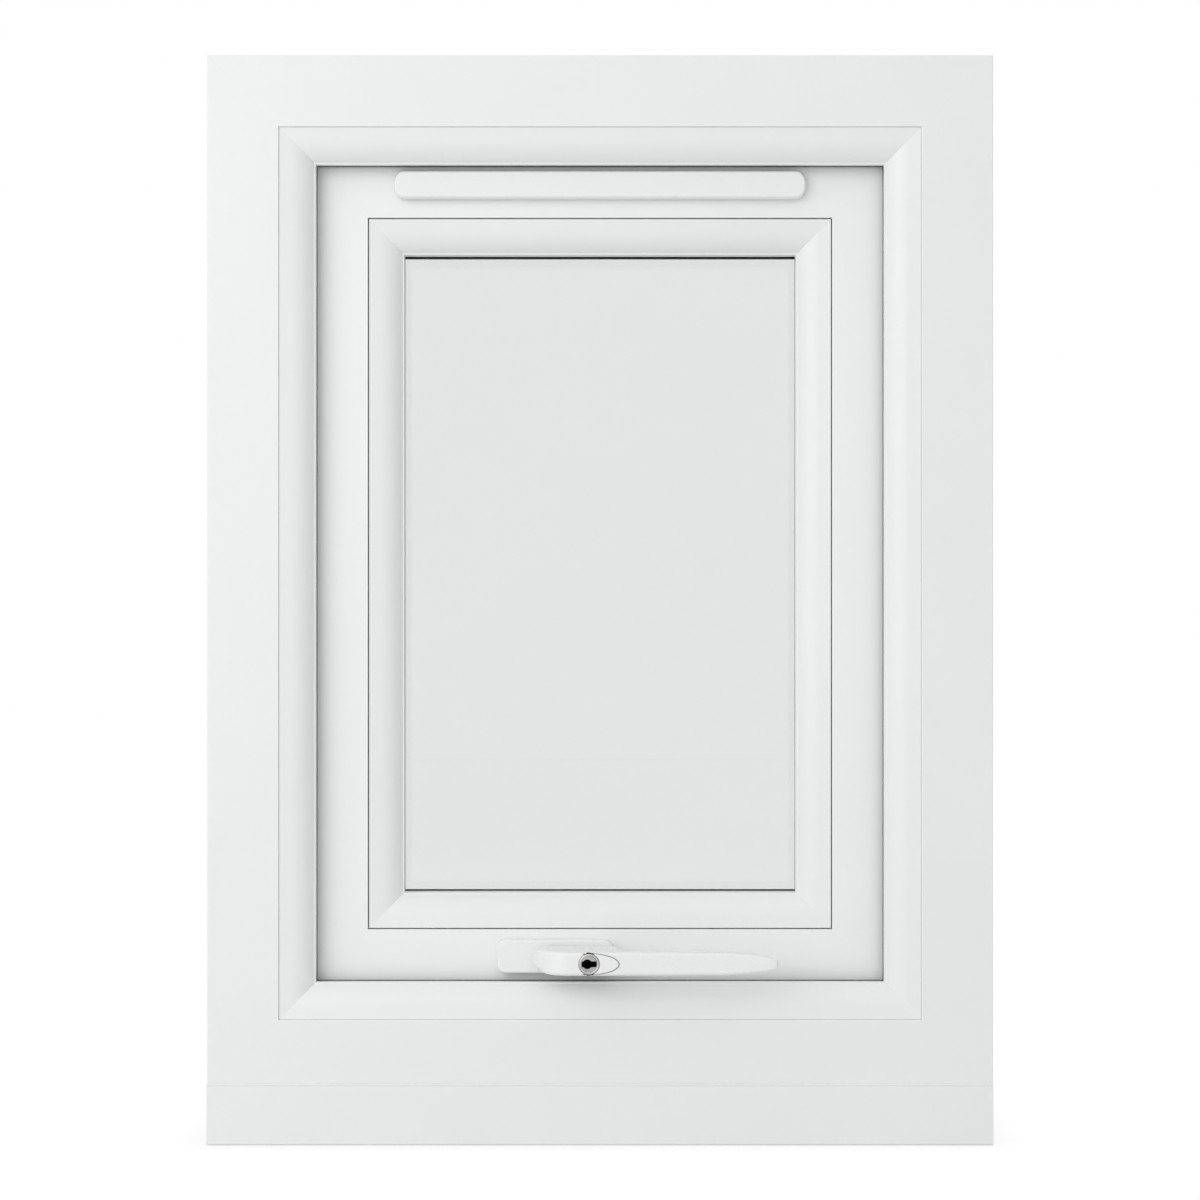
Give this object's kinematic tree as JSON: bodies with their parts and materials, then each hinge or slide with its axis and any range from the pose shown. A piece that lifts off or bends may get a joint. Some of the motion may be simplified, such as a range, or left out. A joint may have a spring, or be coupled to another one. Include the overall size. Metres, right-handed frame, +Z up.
{
  "type": "casement window",
  "caption": "Top-hung double-glazed window in a white plastic frame on a cill, opening outwards on friction stays, with a key-locking handle and a trickle vent.",
  "frame": {"origin": "on the cill's underside, below the middle of the frame's width and depth", "axes": "+X to the right seen from the room, +Y outdoors, +Z up"},
  "size_m": [0.44, 0.172, 0.61],
  "materials": {
    "white_plastic": "satin white foil-free extrusion",
    "seal": "matt black",
    "zinc": "bright zinc plate",
    "glass": "clear float glass",
    "spacer": "mill finish",
    "packer": "moulded",
    "white_metal": "white powder coat",
    "lock_metal": "satin nickel",
    "shoe_plastic": "moulded nylon"
  },
  "bodies": {
    "frame": {"frame_head": "white_plastic", "frame_bottom_rail": "white_plastic", "frame_left_jamb": "white_plastic", "frame_right_jamb": "white_plastic", "frame_gasket": "seal", "cill": "white_plastic", "cill_end_caps": "white_plastic", "drain_caps": "white_plastic", "stay_track_left": "zinc", "stay_track_right": "zinc", "keep_left": "zinc", "keep_right": "zinc", "frame_screws": "zinc"},
    "sash": {"sash_top_rail": "white_plastic", "sash_bottom_rail": "white_plastic", "sash_left_stile": "white_plastic", "sash_right_stile": "white_plastic", "sash_gasket": "seal", "outer_glazing_gasket": "seal", "bead_gasket": "seal", "bead_top": "white_plastic", "bead_bottom": "white_plastic", "bead_left": "white_plastic", "bead_right": "white_plastic", "inner_pane": "glass", "outer_pane": "glass", "spacer_bar": "spacer", "unit_sealant": "seal", "glazing_packers": "packer", "sash_bar_left": "zinc", "sash_bar_right": "zinc", "sash_screws": "zinc", "espag_faceplate": "zinc", "gearbox_case": "zinc", "gearbox_cover": "zinc", "vent_base": "white_plastic", "vent_canopy": "white_plastic", "vent_screws": "zinc", "handle_base": "white_metal", "handle_screws": "zinc"},
    "vent_flap": {"vent_flap": "white_plastic"},
    "handle": {"handle_lever": "white_metal", "handle_spindle": "zinc", "gearbox_pinion": "zinc"},
    "lock_button": {"lock_button": "lock_metal"},
    "lock_plug": {"lock_plug": "lock_metal"},
    "drive_rod": {"drive_bar": "zinc", "drive_cams": "zinc"},
    "strut_left": {"strut_left": "zinc"},
    "long_arm_left": {"long_arm_left": "zinc"},
    "shoe_left": {"shoe_left": "shoe_plastic"},
    "nose_arm_left": {"nose_arm_left": "zinc"},
    "strut_right": {"strut_right": "zinc"},
    "long_arm_right": {"long_arm_right": "zinc"},
    "shoe_right": {"shoe_right": "shoe_plastic"},
    "nose_arm_right": {"nose_arm_right": "zinc"}
  },
  "joints": [
    {"name": "stay_strut_left", "type": "hinge", "parent": "frame", "child": "strut_left", "pos_m": [-0.1741, 0, 0.476], "axis": [1, 0, 0], "range_deg": [0, 53.24]},
    {"name": "stay_arm_left", "type": "hinge", "parent": "strut_left", "child": "long_arm_left", "pos_m": [-0.1741, 0, 0.432], "axis": [-1, 0, 0], "range_deg": [0, 106.6]},
    {"name": "stay_shoe_left", "type": "hinge", "parent": "long_arm_left", "child": "shoe_left", "pos_m": [-0.1741, 0, 0.388], "axis": [1, 0, 0], "range_deg": [0, 53.4]},
    {"name": "sash_pivot", "type": "hinge", "parent": "long_arm_left", "child": "sash", "pos_m": [-0.1741, 0, 0.488], "axis": [1, 0, 0], "range_deg": [0, 98.4]},
    {"name": "stay_nose_left", "type": "hinge", "parent": "frame", "child": "nose_arm_left", "pos_m": [-0.1741, 0.0005, 0.506], "axis": [-1, 0, 0], "range_deg": [0, 62.9]},
    {"name": "stay_strut_right", "type": "hinge", "parent": "frame", "child": "strut_right", "pos_m": [0.1741, 0, 0.476], "axis": [1, 0, 0], "range_deg": [0, 53.4]},
    {"name": "stay_arm_right", "type": "hinge", "parent": "strut_right", "child": "long_arm_right", "pos_m": [0.1741, 0, 0.432], "axis": [-1, 0, 0], "range_deg": [0, 106.6]},
    {"name": "stay_shoe_right", "type": "hinge", "parent": "long_arm_right", "child": "shoe_right", "pos_m": [0.1741, 0, 0.388], "axis": [1, 0, 0], "range_deg": [0, 53.4]},
    {"name": "stay_nose_right", "type": "hinge", "parent": "frame", "child": "nose_arm_right", "pos_m": [0.1741, 0.0005, 0.506], "axis": [-1, 0, 0], "range_deg": [0, 62.9]},
    {"name": "handle_turn", "type": "hinge", "parent": "sash", "child": "handle", "pos_m": [-0.025, -0.0235, 0.104], "axis": [0, -1, 0], "range_deg": [0, 90]},
    {"name": "drive_rod_slide", "type": "slide", "parent": "sash", "child": "drive_rod", "axis": [1, 0, 0], "range_m": [0, 0.0189]},
    {"name": "lock_button_slide", "type": "slide", "parent": "handle", "child": "lock_button", "axis": [0, -1, 0], "range_m": [0, 0.003]},
    {"name": "key_turn", "type": "hinge", "parent": "lock_button", "child": "lock_plug", "pos_m": [-0.006, -0.059, 0.104], "axis": [0, 1, 0], "range_deg": [0, 90]},
    {"name": "vent_flap_tilt", "type": "hinge", "parent": "sash", "child": "vent_flap", "pos_m": [0, -0.0185, 0.5347], "axis": [1, 0, 0], "range_deg": [0, 20]}
  ],
  "couplings": [
    {"joint": "stay_arm_left", "follows": "stay_strut_left", "ratio": 2},
    {"joint": "stay_shoe_left", "follows": "stay_strut_left", "ratio": 1},
    {"joint": "sash_pivot", "follows": "stay_strut_left", "ratio": 1.8453},
    {"joint": "stay_nose_left", "follows": "stay_strut_left", "ratio": 1.1782},
    {"joint": "stay_strut_right", "follows": "stay_strut_left", "ratio": 1},
    {"joint": "stay_arm_right", "follows": "stay_strut_left", "ratio": 2},
    {"joint": "stay_shoe_right", "follows": "stay_strut_left", "ratio": 1},
    {"joint": "stay_nose_right", "follows": "stay_strut_left", "ratio": 1.1782},
    {"joint": "drive_rod_slide", "follows": "handle_turn", "m_per_rad": 0.012}
  ]
}
